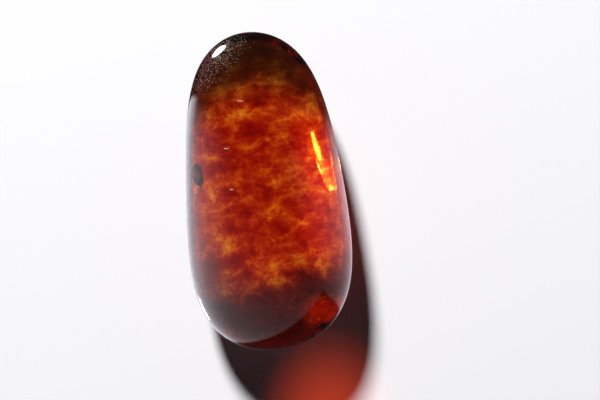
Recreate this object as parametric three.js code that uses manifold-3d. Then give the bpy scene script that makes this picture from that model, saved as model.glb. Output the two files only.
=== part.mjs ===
// A polished amber pebble, one natural solid, lying on its back.
// Millimetres, +Z up. +Y runs along the stone to its narrow end, and +X is to the right when its
// polished crown is looked down on. The origin is under the middle of the stone, on its rest face.
import * as THREE from "three";
import { mergeVertices } from "three/addons/utils/BufferGeometryUtils.js";
import Module from "manifold-3d";

// Overall size of the pebble
const LENGTH = 55;
const HALF_WIDTH = 13.7;
const HALF_THICKNESS = 11;

// The crown stands higher over the widest plane than the flatter back lies under it, by twice this
const CROWN_LIFT = 1.5;

// Egg shape: the width and the thickness change by these shares from the middle to the narrow end,
// and both ends are fuller than an ellipsoid's by the second share
const WIDTH_TAPER = -0.157;
const WIDTH_FULLNESS = 0.373;
const THICKNESS_TAPER = -0.05;
const THICKNESS_FULLNESS = 0.3;

// Both ends lean this far to the left of the middle
const BOW = 0.5;

// Low swells that hand polishing left on the crown, and how many radians of them there are
// from the middle to an end and from the middle to a side
const SWELL_HEIGHT = 0.25;
const SWELLS_ALONG = 5;
const SWELLS_ACROSS = 3.5;

// Height of the widest plane over the worn flat on the back, where the stone rests
const REST_HEIGHT = 9.3;

// Each edge of the twenty first faces is cut into one part more than this
const EDGE_CUTS = 15;

const wasm = await Module();
wasm.setup();

// The share of the middle's width or thickness that is left at t, which goes from -1 at the
// blunt end to +1 at the narrow end.
function eggShare(t, taper, fullness) {
  return 1 + taper * t + fullness * t * t;
}

// Height of the polishing swells at a direction from the middle. They fade out to nothing at
// the widest plane, and there are none on the back.
function swell(direction) {
  const crown = Math.max(direction.z, 0) ** 2;
  const along = Math.sin(SWELLS_ALONG * direction.y);
  const across = Math.cos(SWELLS_ACROSS * direction.x);
  return SWELL_HEIGHT * crown * along * across;
}

// The point of the pebble's surface that lies in a direction, a unit vector, from its middle.
function pebblePoint(direction) {
  const t = direction.y;
  const halfWidth = HALF_WIDTH * eggShare(t, WIDTH_TAPER, WIDTH_FULLNESS);
  const depth = HALF_THICKNESS * direction.z + CROWN_LIFT * direction.z ** 2;
  const height = depth * eggShare(t, THICKNESS_TAPER, THICKNESS_FULLNESS);
  return new THREE.Vector3(
    halfWidth * direction.x - BOW * t * t,
    (LENGTH / 2) * t,
    height + swell(direction),
  );
}

// A closed geometry as a solid that can be cut.
function toSolid(geometry) {
  const bare = geometry.clone();
  bare.deleteAttribute("normal");
  bare.deleteAttribute("uv");
  const merged = mergeVertices(bare);
  return new wasm.Manifold(
    new wasm.Mesh({
      numProp: 3,
      vertProperties: new Float32Array(merged.attributes.position.array),
      triVerts: new Uint32Array(merged.index.array),
    }),
  );
}

// A cut solid as a geometry again.
function toGeometry(solid) {
  const { vertProperties, triVerts } = solid.getMesh();
  const geometry = new THREE.BufferGeometry();
  geometry.setAttribute("position", new THREE.BufferAttribute(vertProperties, 3));
  geometry.setIndex(new THREE.BufferAttribute(triVerts, 1));
  geometry.computeVertexNormals();
  return geometry;
}

// The whole pebble, from an evenly divided sphere whose every corner is moved to the surface.
function pebble() {
  const geometry = new THREE.IcosahedronGeometry(1, EDGE_CUTS);
  const corners = geometry.attributes.position;
  const direction = new THREE.Vector3();
  for (let i = 0; i < corners.count; i += 1) {
    direction.fromBufferAttribute(corners, i).normalize();
    const point = pebblePoint(direction);
    corners.setXYZ(i, point.x, point.y, point.z);
  }
  return toSolid(geometry);
}

// What the worn flat took off: everything lower than the rest height.
function belowRestFace() {
  const block = new THREE.BoxGeometry(LENGTH, LENGTH, HALF_THICKNESS);
  block.translate(0, 0, -REST_HEIGHT - HALF_THICKNESS / 2);
  return toSolid(block);
}

const amberMaterial = new THREE.MeshStandardMaterial({
  name: "amber",
  color: "#9c3a0a",
  roughness: 0.08,
  metalness: 0,
});

const amber = new THREE.Mesh(toGeometry(pebble().subtract(belowRestFace())), amberMaterial);
amber.name = "amber";
amber.position.z = REST_HEIGHT;

const stone = new THREE.Group();
stone.add(amber);

export default stone;
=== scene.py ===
import math

import bmesh
import bpy
from mathutils import Matrix, Vector


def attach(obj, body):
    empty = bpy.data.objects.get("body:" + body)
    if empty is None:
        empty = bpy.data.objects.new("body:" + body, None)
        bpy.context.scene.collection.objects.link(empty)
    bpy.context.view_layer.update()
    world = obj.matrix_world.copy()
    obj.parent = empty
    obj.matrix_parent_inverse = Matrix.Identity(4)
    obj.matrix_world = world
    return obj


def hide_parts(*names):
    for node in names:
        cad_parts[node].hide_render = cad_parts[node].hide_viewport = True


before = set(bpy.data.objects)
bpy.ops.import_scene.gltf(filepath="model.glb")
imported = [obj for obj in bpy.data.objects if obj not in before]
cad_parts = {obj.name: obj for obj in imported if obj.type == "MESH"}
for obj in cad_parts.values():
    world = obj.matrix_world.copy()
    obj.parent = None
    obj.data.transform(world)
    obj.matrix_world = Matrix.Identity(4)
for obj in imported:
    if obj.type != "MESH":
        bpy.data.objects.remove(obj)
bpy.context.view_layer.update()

# Amber pebble
# The whole object is one piece of fossil resin, tumbled and hand-polished to an egg-shaped pebble
# that lies on a small worn flat on its back. A gas bubble is caught in it on the left, just under
# the surface.
MM = 0.001
LENGTH = 55 * MM
HALF_WIDTH = 13.7 * MM
HALF_THICKNESS = 11 * MM

# The crown stands higher over the widest plane than the back lies under it, by twice this
CROWN_LIFT = 1.5 * MM

# The width and the thickness change by these shares from the middle to the narrow end, and both
# ends are fuller than an ellipsoid's by the second share
WIDTH_TAPER = -0.157
WIDTH_FULLNESS = 0.373
THICKNESS_TAPER = -0.05
THICKNESS_FULLNESS = 0.3

# Both ends lean this far to the left of the middle
BOW = 0.5 * MM

# Low swells that hand polishing left on the crown, and how many radians of them there are from
# the middle to an end and from the middle to a side
SWELL_HEIGHT = 0.25 * MM
SWELLS_ALONG = 5
SWELLS_ACROSS = 3.5

# Height of the widest plane over the worn flat
REST_HEIGHT = 9.3 * MM

BUBBLE_CENTRE = (-9.6 * MM, 3.6 * MM, 12.9 * MM)
BUBBLE_RADII = (1.3 * MM, 2.0 * MM, 1.5 * MM)
BUBBLE_LEAN = math.radians(12)

# How often the faces of the two icospheres are divided
SKIN_DIVISIONS = 6
BUBBLE_DIVISIONS = 4

# Where on the crown each small nick is and its half sizes, how deep it is, and how near to it the
# mesh is made finer each time
NICKS = [
    ((-2.36 * MM, 15.33 * MM), (0.80 * MM, 0.34 * MM)),
    ((-5.44 * MM, 7.63 * MM), (0.62 * MM, 0.28 * MM)),
    ((-5.18 * MM, 0.70 * MM), (0.45 * MM, 0.24 * MM)),
    ((-11.60 * MM, 0.90 * MM), (0.40 * MM, 0.50 * MM)),
]
NICK_DEPTH = 0.07 * MM
NICK_REACHES = (2.6 * MM, 1.9 * MM, 1.4 * MM, 1.1 * MM)


def egg_share(t, taper, fullness):
    """The share of the middle's size that is left at t, from -1 at the blunt end to 1."""
    return 1 + taper * t + fullness * t * t


def pebble_point(direction):
    """Where the surface lies in a direction, a unit vector, from the middle of the stone."""
    x, t, z = direction
    crown = max(z, 0) ** 2
    swell = SWELL_HEIGHT * crown * math.sin(SWELLS_ALONG * t) * math.cos(SWELLS_ACROSS * x)
    depth = HALF_THICKNESS * z + CROWN_LIFT * z * z
    height = depth * egg_share(t, THICKNESS_TAPER, THICKNESS_FULLNESS) + swell
    half_width = HALF_WIDTH * egg_share(t, WIDTH_TAPER, WIDTH_FULLNESS)
    return Vector((half_width * x - BOW * t * t, LENGTH / 2 * t, max(height + REST_HEIGHT, 0)))


def nick_reach(corner, spot):
    """How far a corner of the unit sphere is from a nick once it has been moved to the surface."""
    point = pebble_point(corner.co.normalized())
    off = (point.xy - Vector(spot)).length
    return off if corner.co.z > 0 else LENGTH


def amber_mesh():
    """The polished skin, and the wall of the gas bubble, whose faces point into the bubble."""
    shape = bmesh.new()
    bmesh.ops.create_icosphere(shape, subdivisions=SKIN_DIVISIONS, radius=1)
    for spot, _ in NICKS:
        for reach in NICK_REACHES:
            near = {corner for corner in shape.verts if nick_reach(corner, spot) < reach}
            edges = [edge for edge in shape.edges if near.issuperset(edge.verts)]
            bmesh.ops.subdivide_edges(shape, edges=edges, cuts=1, use_grid_fill=True)
    bmesh.ops.triangulate(shape, faces=shape.faces)
    for corner in shape.verts:
        point = pebble_point(corner.co.normalized())
        for (x, y), (half_length, half_width) in NICKS:
            out = ((point.x - x) / half_length) ** 2 + ((point.y - y) / half_width) ** 2
            if out < 1 and corner.co.z > 0:
                point.z -= NICK_DEPTH * (1 - out) ** 2
        corner.co = point
    lean = Matrix.Rotation(BUBBLE_LEAN, 4, "Z")
    place = Matrix.Translation(BUBBLE_CENTRE) @ lean @ Matrix.Diagonal((*BUBBLE_RADII, 1))
    bubble = bmesh.ops.create_icosphere(
        shape,
        subdivisions=BUBBLE_DIVISIONS,
        radius=1,
        matrix=place,
    )
    wall = {face for corner in bubble["verts"] for face in corner.link_faces}
    bmesh.ops.reverse_faces(shape, faces=list(wall))
    mesh = bpy.data.meshes.new("amber_pebble")
    shape.to_mesh(mesh)
    shape.free()
    mesh.shade_smooth()
    return mesh


# The share of each thing that clouds the amber, its size in millimetres, and the sizes of the two
# noises that pull it about with how far they do. The real grain is finer than 0.1 mm, and is drawn
# coarser so that it shows.
CELL_MM = 2.6
CELL_SHARE = 0.26
BLOTCH_MM = 4.5
BLOTCH_SHARE = 0.40
THREAD_MM = 1.5
THREAD_SHARE = 0.08
GRAIN_MM = 0.5
GRAIN_SHARE = 0.12
SLOW_WARP_MM = 4
SLOW_PULL_MM = 2.2
FINE_WARP_MM = 1.1
FINE_PULL_MM = 0.9

# The tones from the darkest cells to the brightest threads, how cloudy it is where the middle one
# shows and the step from one to the next
CLOUD_TONES = ["#8c0d05", "#a51c0f", "#bf3e22", "#e2843f", "#ffde94"]
CLOUD_MIDDLE = 0.482
CLOUD_STEP = 0.064

# Where the painted shade on each end starts and is full, measured from the middle, its colour and
# how much it covers: both ends are painted darker, as shade, where little light comes through
# them. The narrow one's edge arches, the blunt one's tilts, and the clouds push both about.
NARROW_END_MM = (13.3, 20.0)
NARROW_END_ARCH = 0.042
NARROW_END_SHARE = 0.86
NARROW_END_SHADE_COLOUR = "#2e2a14"
BLUNT_END_MM = (12.4, 18.6)
BLUNT_END_TILT = 0.20
BLUNT_END_SHARE = 0.94
BLUNT_END_SHADE_COLOUR = "#5a0f06"
END_WANDER_MM = 12

# Small embers glow through the painted shade of the blunt end. Each is full and gone at these
# shares of its cell.
EMBER_MM = 0.55
EMBER_EDGE = (0.1, 0.4)
EMBER_SHARE = 0.34
EMBER_COLOUR = "#e08040"

# The wall of the bubble is clear at its core, with a painted dark ring round it: shade that stands
# in for the light which the bubble bends away. The first patch reaches a little past the bubble,
# and the core's half sizes are shares of that patch's.
BUBBLE_PATCH = 1.1
BUBBLE_PATCH_SOFTNESS = 0.05
BUBBLE_CLEAR = "#ffffff"
BUBBLE_RING_SHADE_COLOUR = "#36454f"
BUBBLE_CORE = Vector((0.40, 0.56, 2))
BUBBLE_CORE_SOFTNESS = 0.45

# A fine dark flaw runs down from the bubble just under the surface
FLAW_MIDDLE = (-10.5, 1.5, 7)
FLAW_HALF_SIZE = (0.22, 0.62, 4)
FLAW_SOFTNESS = 0.6
FLAW_TURN = math.radians(-28)
FLAW_COLOUR = "#241a1c"

# The roughness of the polish, and the fine ripples that it left all over. Real ones are finer
# than 0.1 mm, and are drawn coarser so that they show.
RIPPLE_MM = 0.3
RIPPLE_DEPTH_MM = 0.004
POLISH = 0.02

# A patch of small dull specks on the left shoulder, crowded round the glint: the share of its cell
# that one fills, how crowded they are and how much their strength varies. They are matt pits, and
# their pale colour is partly painted sparkle of the glint's light. Real ones are finer than 0.1 mm,
# and are drawn coarser so that they show.
SPECK_MM = 0.17
SPECK_SHARE = 0.31
SPECK_CROWD = 0.85
SPECK_VARIETY = 0.5
SPECKS_MIDDLE = (-6.8, 22.7, 5.0)
SPECKS_HALF_SIZE = (9.0, 4.3, 6.5)
SPECKS_SOFTNESS = 0.95
SPECKS_TURN = math.radians(40)

# The pale lip of each nick, partly bruised amber and partly a painted glint: a patch narrower than
# the nick, less the same patch moved right and up by this much
NICK_PATCH = 0.75
NICK_PATCH_HEIGHT = 11
NICK_PATCH_SOFTNESS = 0.3
NICK_LIP_MM = 0.09

# How matt specks and nicks are, how much of each scatters light and doesn't let it in, and the
# colour of that part, which is partly bruised amber and partly painted sparkle and glint
BRUISE_ROUGHNESS = 0.45
SPECK_BRUISE_AND_SPARKLE = 0.38
NICK_BRUISE_AND_GLINT = 0.55
BRUISE_AND_GLINT_COLOUR = "#e6ddd6"

# Amber bends light by 1.54. The colours that it takes out leave a deep orange.
AMBER_IOR = 1.54
AMBER_ABSORPTION = (0.93, 0.645, 0.01, 1)
AMBER_DENSITY = 145


def linear(hex_colour):
    """A linear RGBA colour from an sRGB hex one."""
    shares = [int(hex_colour[i : i + 2], 16) / 255 for i in (1, 3, 5)]
    return [s / 12.92 if s <= 0.04045 else ((s + 0.055) / 1.055) ** 2.4 for s in shares] + [1]


def add_node(tree, kind, inputs=None, **settings):
    """A node with its settings. Each of its inputs is a value, or comes from a node or a socket."""
    node = tree.nodes.new(kind)
    for name, setting in settings.items():
        setattr(node, name, setting)
    for name, source in (inputs or {}).items():
        if isinstance(source, bpy.types.Node):
            source = source.outputs[0]
        if isinstance(source, bpy.types.NodeSocket):
            tree.links.new(source, node.inputs[name])
        else:
            node.inputs[name].default_value = source
    return node


def pulled(tree, place, size, pull):
    """The place, pulled about by a noise whose lumps have this size in millimetres."""
    lumps = add_node(tree, "ShaderNodeTexNoise", {"Vector": place, "Scale": 1 / size, "Detail": 1})
    push = add_node(
        tree,
        "ShaderNodeVectorMath",
        {0: lumps.outputs["Color"], "Scale": pull},
        operation="SCALE",
    )
    return add_node(tree, "ShaderNodeVectorMath", {0: place, 1: push}, operation="ADD")


def soft_patch(tree, place, middle, half_size, softness, turn=0):
    """1 inside an ellipsoid and 0 outside it, with an edge as soft as this share of its size."""
    centred = add_node(
        tree,
        "ShaderNodeMapping",
        {"Vector": place, "Location": middle, "Rotation": (0, 0, turn), "Scale": half_size},
        vector_type="TEXTURE",
    )
    distance = add_node(tree, "ShaderNodeVectorMath", {0: centred}, operation="LENGTH")
    return add_node(
        tree,
        "ShaderNodeMapRange",
        {"Value": distance.outputs["Value"], "From Min": 1 + softness, "From Max": 1 - softness},
        interpolation_type="SMOOTHSTEP",
    )


def cloudiness(tree, place):
    """Dark red cells in a net of bright orange threads, with wide blotches and a fine grain."""
    slow = pulled(tree, place, SLOW_WARP_MM, SLOW_PULL_MM)
    fine = pulled(tree, slow, FINE_WARP_MM, FINE_PULL_MM)
    cells = add_node(tree, "ShaderNodeTexVoronoi", {"Vector": fine, "Scale": 1 / CELL_MM})
    blotches = add_node(
        tree,
        "ShaderNodeTexNoise",
        {"Vector": slow, "Scale": 1 / BLOTCH_MM, "Detail": 4, "Roughness": 0.6},
    )
    threads = add_node(
        tree,
        "ShaderNodeTexNoise",
        {"Vector": fine, "Scale": 1 / THREAD_MM, "Detail": 2, "Offset": 1, "Gain": 2},
        noise_type="RIDGED_MULTIFRACTAL",
        normalize=False,
    )
    grain = add_node(
        tree,
        "ShaderNodeTexNoise",
        {"Vector": place, "Scale": 1 / GRAIN_MM, "Detail": 1, "Roughness": 0.6},
    )
    parts = [
        (cells, CELL_SHARE),
        (blotches, BLOTCH_SHARE),
        (threads, THREAD_SHARE),
        (grain, GRAIN_SHARE),
    ]
    total = 0
    for part, share in parts:
        total = add_node(
            tree,
            "ShaderNodeMath",
            {0: part, 1: share, 2: total},
            operation="MULTIPLY_ADD",
        )
    return total


def cloud_colour(tree, clouds):
    """The tone of the amber by its cloudiness."""
    tones = add_node(tree, "ShaderNodeValToRGB", {"Fac": clouds})
    stops = tones.color_ramp.elements
    stops.remove(stops[1])
    for step, tone in enumerate(CLOUD_TONES):
        place = CLOUD_MIDDLE + (step - len(CLOUD_TONES) // 2) * CLOUD_STEP
        stop = stops.new(place) if step else stops[0]
        stop.position = place
        stop.color = linear(tone)
    return tones.outputs["Color"]


def painted_end_shade(tree, place, clouds):
    """How much of the clouds the painted shade hides on the narrow end and on the blunt end."""
    axes = add_node(tree, "ShaderNodeSeparateXYZ", {"Vector": place}).outputs
    thin = add_node(tree, "ShaderNodeMath", {0: CLOUD_MIDDLE, 1: clouds}, operation="SUBTRACT")
    wander = add_node(tree, "ShaderNodeMath", {0: thin, 1: END_WANDER_MM}, operation="MULTIPLY")
    square = add_node(tree, "ShaderNodeMath", {0: axes["X"], 1: 2}, operation="POWER")
    arched = add_node(
        tree,
        "ShaderNodeMath",
        {0: square, 1: NARROW_END_ARCH, 2: wander},
        operation="MULTIPLY_ADD",
    )
    tilted = add_node(
        tree,
        "ShaderNodeMath",
        {0: axes["X"], 1: BLUNT_END_TILT, 2: wander},
        operation="MULTIPLY_ADD",
    )
    upward = add_node(tree, "ShaderNodeMath", {0: arched, 1: axes["Y"]}, operation="ADD")
    downward = add_node(tree, "ShaderNodeMath", {0: tilted, 1: axes["Y"]}, operation="SUBTRACT")
    ends = [
        (upward, NARROW_END_MM, NARROW_END_SHARE),
        (downward, BLUNT_END_MM, BLUNT_END_SHARE),
    ]
    return [
        add_node(
            tree,
            "ShaderNodeMapRange",
            {"Value": reach, "From Min": start, "From Max": full, "To Max": share},
            interpolation_type="SMOOTHSTEP",
        )
        for reach, (start, full), share in ends
    ]


def embers(tree, place, blunt_end_shade):
    """Small glowing spots in the painted shade of the blunt end."""
    cell = add_node(tree, "ShaderNodeTexVoronoi", {"Vector": place, "Scale": 1 / EMBER_MM})
    full, gone = EMBER_EDGE
    spot = add_node(
        tree,
        "ShaderNodeMapRange",
        {
            "Value": cell.outputs["Distance"],
            "From Min": gone,
            "From Max": full,
            "To Max": EMBER_SHARE,
        },
        interpolation_type="SMOOTHSTEP",
    )
    return add_node(tree, "ShaderNodeMath", {0: spot, 1: blunt_end_shade}, operation="MULTIPLY")


def bubble_wall(tree, place):
    """Where the wall of the bubble is, and where its painted ring of shade is."""
    middle = Vector(BUBBLE_CENTRE) / MM - Vector((0, 0, REST_HEIGHT / MM))
    half_size = Vector(BUBBLE_RADII) / MM * BUBBLE_PATCH
    wall = soft_patch(tree, place, middle, half_size, BUBBLE_PATCH_SOFTNESS, BUBBLE_LEAN)
    core_size = half_size * BUBBLE_CORE
    core = soft_patch(tree, place, middle, core_size, BUBBLE_CORE_SOFTNESS, BUBBLE_LEAN)
    round_core = add_node(tree, "ShaderNodeMath", {0: 1, 1: core}, operation="SUBTRACT")
    edge = add_node(tree, "ShaderNodeMath", {0: wall, 1: round_core}, operation="MULTIPLY")
    return wall, edge


def dull_specks(tree, place):
    """Specks of random strength, crowded in the middle of the patch and rare at its edge."""
    cell = add_node(tree, "ShaderNodeTexVoronoi", {"Vector": place, "Scale": 1 / SPECK_MM})
    speck = add_node(
        tree,
        "ShaderNodeMath",
        {0: cell.outputs["Distance"], 1: SPECK_SHARE},
        operation="LESS_THAN",
    )
    patch = soft_patch(
        tree,
        place,
        SPECKS_MIDDLE,
        SPECKS_HALF_SIZE,
        SPECKS_SOFTNESS,
        SPECKS_TURN,
    )
    crowd = add_node(tree, "ShaderNodeMath", {0: patch, 1: SPECK_CROWD}, operation="MULTIPLY")
    spare = add_node(
        tree,
        "ShaderNodeMath",
        {0: crowd, 1: cell.outputs["Color"]},
        operation="SUBTRACT",
    )
    strength = add_node(
        tree,
        "ShaderNodeMapRange",
        {"Value": spare, "From Min": 0, "From Max": SPECK_VARIETY},
        interpolation_type="SMOOTHSTEP",
    )
    return add_node(tree, "ShaderNodeMath", {0: speck, 1: strength}, operation="MULTIPLY")


def nick_lips(tree, place):
    """The pale crescents along the nicks: partly bruised amber, partly painted glint."""
    total = 0
    for (x, y), (half_length, half_width) in NICKS:
        half_size = (
            half_length / MM * NICK_PATCH,
            half_width / MM * NICK_PATCH,
            NICK_PATCH_HEIGHT,
        )
        whole, moved = [
            soft_patch(
                tree,
                place,
                (x / MM + off, y / MM + off, NICK_PATCH_HEIGHT),
                half_size,
                NICK_PATCH_SOFTNESS,
            )
            for off in (0, NICK_LIP_MM)
        ]
        lip = add_node(
            tree,
            "ShaderNodeMath",
            {0: whole, 1: moved},
            operation="SUBTRACT",
            use_clamp=True,
        )
        total = add_node(tree, "ShaderNodeMath", {0: lip, 1: total}, operation="ADD")
    return total


def polished_amber():
    """Fossil resin with a hand polish: a wet gloss over a glowing, cloudy red-orange depth."""
    material = bpy.data.materials.new("polished_amber")
    material.use_nodes = True
    tree = material.node_tree
    tree.nodes.clear()
    place = add_node(
        tree,
        "ShaderNodeMapping",
        {
            "Vector": add_node(tree, "ShaderNodeTexCoord").outputs["Object"],
            "Location": (0, 0, -REST_HEIGHT / MM),
            "Scale": (1 / MM, 1 / MM, 1 / MM),
        },
    )
    clouds = cloudiness(tree, place)
    narrow_end_shade, blunt_end_shade = painted_end_shade(tree, place, clouds)
    wall, edge = bubble_wall(tree, place)
    flaw = soft_patch(tree, place, FLAW_MIDDLE, FLAW_HALF_SIZE, FLAW_SOFTNESS, FLAW_TURN)
    specks = dull_specks(tree, place)
    lips = nick_lips(tree, place)
    # Specks and nick lips, whose pale colour is partly painted sparkle and glint
    bruise_and_glint_mask = add_node(tree, "ShaderNodeMath", {0: specks, 1: lips}, operation="MAXIMUM")

    # Each colour lies over the one before. Inputs 6 and 7 are the two colours of a Mix node, and
    # output 2 is the mixed one.
    layers = [
        # Painted shade on both ends, where little light comes through them
        (narrow_end_shade, NARROW_END_SHADE_COLOUR),
        (blunt_end_shade, BLUNT_END_SHADE_COLOUR),
        (embers(tree, place, blunt_end_shade), EMBER_COLOUR),
        (wall, BUBBLE_CLEAR),
        # Painted shade: the dark ring round the bubble
        (edge, BUBBLE_RING_SHADE_COLOUR),
        (flaw, FLAW_COLOUR),
        # Pale bruises on specks and nick lips, partly painted sparkle and glint
        (bruise_and_glint_mask, BRUISE_AND_GLINT_COLOUR),
    ]
    colour = cloud_colour(tree, clouds)
    for share, tone in layers:
        mix = add_node(
            tree,
            "ShaderNodeMix",
            {"Factor": share, 6: colour, 7: linear(tone)},
            data_type="RGBA",
        )
        colour = mix.outputs[2]

    ripples = add_node(
        tree,
        "ShaderNodeTexNoise",
        {"Vector": place, "Scale": 1 / RIPPLE_MM, "Detail": 2, "Roughness": 0.7},
    )
    skin = add_node(
        tree,
        "ShaderNodeBump",
        {"Height": ripples, "Strength": 1, "Distance": RIPPLE_DEPTH_MM * MM},
    )
    matt = add_node(
        tree,
        "ShaderNodeMath",
        {0: bruise_and_glint_mask, 1: BRUISE_ROUGHNESS},
        operation="MULTIPLY",
    )
    roughness = add_node(tree, "ShaderNodeMath", {0: matt, 1: POLISH}, operation="MAXIMUM")
    speck_share = add_node(
        tree,
        "ShaderNodeMath",
        {0: specks, 1: SPECK_BRUISE_AND_SPARKLE},
        operation="MULTIPLY",
    )
    lip_share = add_node(tree, "ShaderNodeMath", {0: lips, 1: NICK_BRUISE_AND_GLINT}, operation="MULTIPLY")
    bruise_and_glint_share = add_node(
        tree,
        "ShaderNodeMath",
        {0: speck_share, 1: lip_share},
        operation="MAXIMUM",
    )
    clear = add_node(tree, "ShaderNodeMath", {0: 1, 1: bruise_and_glint_share}, operation="SUBTRACT")
    surface = add_node(
        tree,
        "ShaderNodeBsdfPrincipled",
        {
            "Base Color": colour,
            "Roughness": roughness,
            "IOR": AMBER_IOR,
            "Transmission Weight": clear,
            "Normal": skin,
        },
    )
    depth = add_node(
        tree,
        "ShaderNodeVolumeAbsorption",
        {"Color": AMBER_ABSORPTION, "Density": AMBER_DENSITY},
    )
    add_node(tree, "ShaderNodeOutputMaterial", {"Surface": surface, "Volume": depth})
    return material


amber = bpy.data.objects.new("amber_pebble", amber_mesh())
bpy.context.collection.objects.link(amber)
amber.data.materials.append(polished_amber())
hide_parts("amber")
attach(amber, "root")

# Light table
# A wide, plain, pale table of frosted glass that the stone lies on. It is lit from below in soft
# patches under the stone, so that the clear amber glows as it does when it is held up to light,
# and a red glow is painted into it in the stone's shadow, as painted light for what the amber would
# let through.
TABLE_HALF = 1.5
TABLE_COLOUR = "#ebeaed"
TABLE_ROUGHNESS = 0.7

# The table lies a hair's breadth lower than the worn flat, so that the two faces don't coincide
TABLE_GAP = 0.05 * MM

# The middle and the half sizes in millimetres of each lit patch, its turn to the left in degrees,
# how bright it is, how soft its edge is as a share of its size, and its colour
LIT_PATCHES = [
    # Under the clear middle of the stone, and brighter under its right side
    ((-0.7, 0.6, 0), (6.3, 17.8, 1), 0, 0.80, 0.4, "#f8f4f0"),
    ((4.1, 3.8, 0), (1.3, 6.5, 1), 7.3, 1.25, 0.9, "#f6f4fa"),
    ((4.4, -8.6, 0), (1.3, 6.0, 1), 3, 0.8, 0.9, "#f6f4fa"),
    # Under the embers at the right of the blunt end
    ((4.0, -18.2, 0), (1.4, 1.2, 1), 0, 2.8, 0.9, "#ffc0a0"),
    # Painted light: a red glow in the table where clear amber would let light through into its own
    # shadow
    ((5.0, -18.0, 0), (24.0, 26.0, 1), 0, 0.006, 0.9, "#ff3020"),
    ((7.0, -42.0, 0), (7.2, 9.5, 1), -12, 0.44, 0.95, "#ff4a20"),
]


def frosted_glass():
    """Sandblasted glass lit from below: pale, quite matt, no shine, soft glow, painted red glow."""
    material = bpy.data.materials.new("frosted_glass")
    material.use_nodes = True
    tree = material.node_tree
    place = add_node(
        tree,
        "ShaderNodeMapping",
        {
            "Vector": add_node(tree, "ShaderNodeTexCoord").outputs["Object"],
            "Scale": (1 / MM, 1 / MM, 1 / MM),
        },
    )
    light = (0, 0, 0)
    for middle, half_size, turn, brightness, softness, colour in LIT_PATCHES:
        patch = soft_patch(tree, place, middle, half_size, softness, math.radians(turn))
        light = add_node(
            tree,
            "ShaderNodeVectorMath",
            {0: patch, 1: Vector(linear(colour)[:3]) * brightness, 2: light},
            operation="MULTIPLY_ADD",
        )
    shader = tree.nodes["Principled BSDF"]
    shader.inputs["Base Color"].default_value = linear(TABLE_COLOUR)
    shader.inputs["Roughness"].default_value = TABLE_ROUGHNESS
    shader.inputs["Specular IOR Level"].default_value = 0
    shader.inputs["Emission Strength"].default_value = 1
    tree.links.new(light.outputs[0], shader.inputs["Emission Color"])
    return material


def table_top():
    """One flat square sheet."""
    shape = bmesh.new()
    bmesh.ops.create_grid(shape, x_segments=1, y_segments=1, size=TABLE_HALF)
    mesh = bpy.data.meshes.new("table_top")
    shape.to_mesh(mesh)
    shape.free()
    mesh.materials.append(frosted_glass())
    table = bpy.data.objects.new("table_top", mesh)
    table.location.z = -TABLE_GAP
    bpy.context.collection.objects.link(table)
    return table


table = table_top()
table.visible_glossy = False

# Light
# Plain soft studio light: one soft panel from beyond the narrow end, thin strips that shine through
# the stone, small panels that only its gloss shows, and a soft surround that veils its sides.
MIDDLE = Vector((0, 0, REST_HEIGHT))
KEY_DISTANCE = 1.5
KEY_AZIMUTH = math.radians(104)
KEY_HEIGHT = math.radians(40)
KEY_SIZE = 0.24
KEY_WATTS = 39

# Thin strips under the right shoulder, whose light the stone gathers into a bright streak: the
# middle of each in millimetres, its size and how bright it is
STREAK_ALONG = math.radians(98)
STREAK_STRIPS = [
    ((4.08, 5.7, 0.28), (0.30, 5.6), 40),
    ((4.46, 2.9, 0.28), (0.56, 4.4), 22),
    ((4.80, 0.5, 0.28), (0.40, 4.2), 18),
]

# Each glint is the mirror image of a small panel that only the gloss shows: where it is seen on
# the stone in millimetres, the direction from there to its panel in degrees, the panel's distance,
# the azimuth along it, its size and its power
GLINTS = [
    ("shoulder_glint", (-5.20, 24.35, 13.94), (124, -27), 20, 36, (7.0, 8.0), 0.005),
    ("side_glint", (-12.4, -19.15, 12.1), (-156, -54), 12, -63, (0.8, 6.5), 0.0006),
]


def direction(azimuth, height):
    """The unit vector towards an azimuth from the X axis and a height over the horizon."""
    return Vector(
        (
            math.cos(azimuth) * math.cos(height),
            math.sin(azimuth) * math.cos(height),
            math.sin(height),
        )
    )


def panel(name, place, aim, along, size, watts, lights):
    """An elliptical lamp that faces a place, with its long way along an azimuth. It lights only
    the table, only the gloss of the stone or only its depth."""
    light = bpy.data.lights.new(name, "AREA")
    light.shape = "ELLIPSE"
    light.size, light.size_y = size
    light.energy = watts
    lamp = bpy.data.objects.new(name, light)
    back = (place - aim).normalized()
    across = direction(along, 0).cross(back).normalized()
    turned = Matrix((across, back.cross(across), back)).transposed()
    lamp.matrix_world = Matrix.Translation(place) @ turned.to_4x4()
    lamp.visible_camera = False
    lamp.visible_diffuse = lights == "table"
    lamp.visible_glossy = lights == "gloss"
    lamp.visible_transmission = lights == "depth"
    bpy.context.collection.objects.link(lamp)


key_place = MIDDLE + direction(KEY_AZIMUTH, KEY_HEIGHT) * KEY_DISTANCE
panel("key_panel", key_place, MIDDLE, KEY_AZIMUTH, (KEY_SIZE, KEY_SIZE), KEY_WATTS, "table")

for number, (spot, size, brightness) in enumerate(STREAK_STRIPS):
    strip_place = Vector(spot) * MM
    above = strip_place + Vector((0, 0, 1))
    size = [side * MM for side in size]
    area = math.pi / 4 * size[0] * size[1]
    watts = brightness * math.pi * area
    panel(f"streak_strip_{number}", strip_place, above, STREAK_ALONG, size, watts, "depth")

for name, spot, (azimuth, height), reach, along, size, watts in GLINTS:
    spot = Vector(spot) * MM
    towards = direction(math.radians(azimuth), math.radians(height))
    size = [side * MM for side in size]
    panel(name, spot + towards * reach * MM, spot, math.radians(along), size, watts, "gloss")

# How bright the surround is where the camera sees it, and how much of it the table gets
PALE = 0.8
FILL = 0.014
SURROUND_COLOUR = "#f3f0fa"

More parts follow.
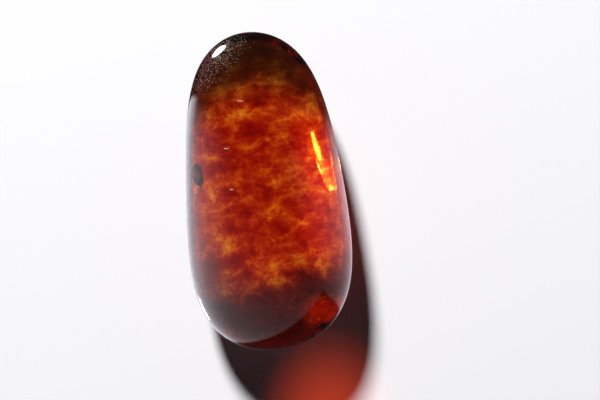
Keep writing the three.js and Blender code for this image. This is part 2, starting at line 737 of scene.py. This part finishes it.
# What the gloss sees around the stone: the middle and the half size of each soft bright part, as
# directions from the stone, and its brightness
SURROUND_BASE = 0.026
SURROUND_SOFTNESS = 0.8
GLOSS_PARTS = [
    ((-0.83, -0.11, -1.11), (0.58, 0.46, 1.06), 2.07),
    ((-0.28, -0.46, -0.13), (0.85, 0.53, 0.73), 1.12),
    ((0.71, 0.12, -1.11), (0.81, 0.54, 1.17), 1.15),
    ((0.40, 0.36, -0.72), (1.16, 0.26, 0.26), 2.4),
]

# Two dark parts of the room beyond the narrow end, and the stone's own shadow, hide some of them.
# Each is bounded by two planes: the way that the plane faces, its distance out and how soft its
# edge is.
DARK_ROOM = [((0.08, 1.0, -0.06), 0.19, 0.26), ((0.38, -0.35, 0.86), -0.82, 0.12)]
DARK_CORNER = [((0.35, 0.94, 0.0), 0.0, 0.03), ((-0.22, 0.97, 0.0), 0.0, 0.10)]
OWN_SHADOW = [((0.53, -0.60, -0.60), 0.64, 0.06), ((-0.50, -0.86, 0.07), 0.02, 0.05)]

# What only the depth of the stone shows, in the same way: two soft parts that brighten its right
# rim, and a band round the horizon that keeps it clear in a low view
DEPTH_PARTS = [
    ((-0.77, 0.0, 0.64), (0.45, 0.4, 0.45), 0.9),
    ((-0.40, 0.82, 0.42), (0.35, 0.3, 0.3), 1.3),
    ((-0.3, 0.25, 0.0), (1.0, 1.0, 0.3), 1.5),
]


def bright_parts(tree, ray, parts, start):
    """How bright a direction is with these soft parts over a starting brightness."""
    total = start
    for middle, half_size, brightness in parts:
        part = soft_patch(tree, ray, middle, half_size, SURROUND_SOFTNESS)
        total = add_node(
            tree,
            "ShaderNodeMath",
            {0: part, 1: brightness, 2: total},
            operation="MULTIPLY_ADD",
        )
    return total


def cut_off(tree, ray, planes):
    """1 in the corner of the surround that lies beyond all these planes, and 0 elsewhere."""
    share = 1
    for towards, out, softness in planes:
        cosine = add_node(
            tree,
            "ShaderNodeVectorMath",
            {0: ray, 1: Vector(towards).normalized()},
            operation="DOT_PRODUCT",
        )
        beyond = add_node(
            tree,
            "ShaderNodeMapRange",
            {
                "Value": cosine.outputs["Value"],
                "From Min": out - softness / 2,
                "From Max": out + softness / 2,
            },
            interpolation_type="SMOOTHSTEP",
        )
        share = add_node(tree, "ShaderNodeMath", {0: beyond, 1: share}, operation="MULTIPLY")
    return share


def soft_surround():
    """A plain pale room. Each kind of ray sees its own brightness of it."""
    world = bpy.data.worlds.new("surround")
    world.use_nodes = True
    tree = world.node_tree
    tree.nodes.clear()
    ray = add_node(tree, "ShaderNodeTexCoord").outputs["Generated"]
    bright = bright_parts(tree, ray, GLOSS_PARTS, 0)
    for planes in (DARK_ROOM, DARK_CORNER, OWN_SHADOW):
        hidden = cut_off(tree, ray, planes)
        lit = add_node(tree, "ShaderNodeMath", {0: 1, 1: hidden}, operation="SUBTRACT")
        bright = add_node(tree, "ShaderNodeMath", {0: bright, 1: lit}, operation="MULTIPLY")
    gloss = add_node(tree, "ShaderNodeMath", {0: bright, 1: SURROUND_BASE}, operation="ADD")
    seen = {
        "Is Camera Ray": PALE,
        "Is Diffuse Ray": FILL,
        "Is Glossy Ray": gloss,
        "Is Transmission Ray": bright_parts(tree, ray, DEPTH_PARTS, SURROUND_BASE),
    }
    path = add_node(tree, "ShaderNodeLightPath").outputs
    light = 0
    for kind, brightness in seen.items():
        light = add_node(
            tree,
            "ShaderNodeMath",
            {0: path[kind], 1: brightness, 2: light},
            operation="MULTIPLY_ADD",
        )
    background = add_node(
        tree,
        "ShaderNodeBackground",
        {"Color": linear(SURROUND_COLOUR), "Strength": light},
    )
    add_node(tree, "ShaderNodeOutputWorld", {"Surface": background})
    return world


bpy.context.scene.world = soft_surround()

# Camera
# It looks straight down on the crown through a long lens. The narrow end is up in the picture and
# leans to the left.
LENS = 100
SENSOR = 36
FRAME_PIXELS = Vector((600, 400))
LEAN = math.radians(5.6)

# How long the stone is in the picture, and where its middle is from the upper left corner
STONE_PIXELS = 318.4
STONE_CENTRE_PIXELS = Vector((264.9, 190.6))

pixel = LENGTH / STONE_PIXELS
distance = LENS / SENSOR * FRAME_PIXELS.x * pixel
up = Vector((math.sin(LEAN), math.cos(LEAN), 0))
right = Vector((math.cos(LEAN), -math.sin(LEAN), 0))
offset = (FRAME_PIXELS / 2 - STONE_CENTRE_PIXELS) * pixel
place = MIDDLE + right * offset.x - up * offset.y + Vector((0, 0, distance))
camera = bpy.data.objects.new("camera", bpy.data.cameras.new("camera"))
camera.data.lens = LENS
camera.data.sensor_width = SENSOR
camera.matrix_world = Matrix.Translation(place) @ Matrix.Rotation(-LEAN, 4, "Z")
bpy.context.collection.objects.link(camera)
bpy.context.scene.camera = camera

bpy.context.scene.view_settings.view_transform = "Standard"
